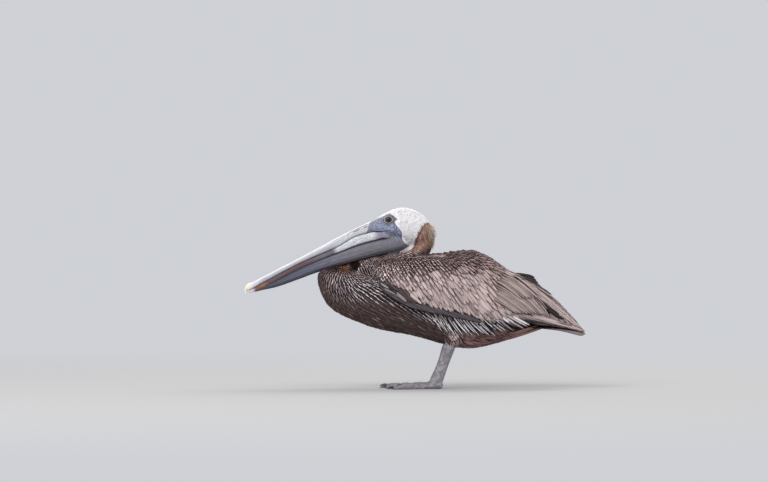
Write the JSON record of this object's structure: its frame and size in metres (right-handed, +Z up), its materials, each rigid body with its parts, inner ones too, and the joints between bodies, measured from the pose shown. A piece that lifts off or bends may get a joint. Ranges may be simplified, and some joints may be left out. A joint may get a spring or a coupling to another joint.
{
  "type": "brown pelican",
  "caption": "Brown pelican standing with folded wings, neck drawn in and long pouched bill resting forward and down over the breast; white head, rusty nape, silver-brown plumage.",
  "frame": {"origin": "on the floor, under the middle of the bird's length and width", "axes": "+X towards the tail, so the bill points to -X; +Y to the bird's right side; +Z up"},
  "size_m": [0.6817, 0.2156, 0.3615],
  "materials": {
    "body_feathers": "dark brown body feathers with fine pale streaks, matte",
    "neck_feathers": "brown neck feathers, white curved streaks on the breast, rusty brown nape, matte",
    "head_feathers": "short white head feathers, with bare blue-grey skin around the eye",
    "wing_feathers": "silver-grey and brown wing feathers with dark edges, slight sheen",
    "bill_horn": "pale grey-white horn with dark and reddish patches, satin",
    "bill_nail": "yellowish hooked nail, smooth",
    "pouch_skin": "dark slate pouch skin with fine lengthwise wrinkles",
    "leg_skin": "mottled grey scaly skin",
    "claw": "dark horn, satin",
    "eye": "dark brown, wet and glossy"
  },
  "bodies": {
    "root": {"trunk": "body_feathers", "neck_lower": "neck_feathers", "neck_middle": "neck_feathers", "neck_upper": "neck_feathers", "head": "head_feathers", "bill_upper": "bill_horn", "bill_nail": "bill_nail", "bill_lower": "bill_horn", "pouch": "pouch_skin", "eye_left": "eye", "eye_right": "eye", "wing_left": "wing_feathers", "wing_right": "wing_feathers", "wing_quills_left": "wing_feathers", "wing_quills_right": "wing_feathers", "tail": "body_feathers", "thigh_left": "body_feathers", "thigh_right": "body_feathers", "shank_left": "leg_skin", "shank_right": "leg_skin", "foot_left": "leg_skin", "foot_right": "leg_skin", "claw_outer_left": "claw", "claw_outer_right": "claw", "claw_middle_left": "claw", "claw_middle_right": "claw", "claw_inner_left": "claw", "claw_inner_right": "claw", "claw_hind_left": "claw", "claw_hind_right": "claw"}
  },
  "joints": []
}
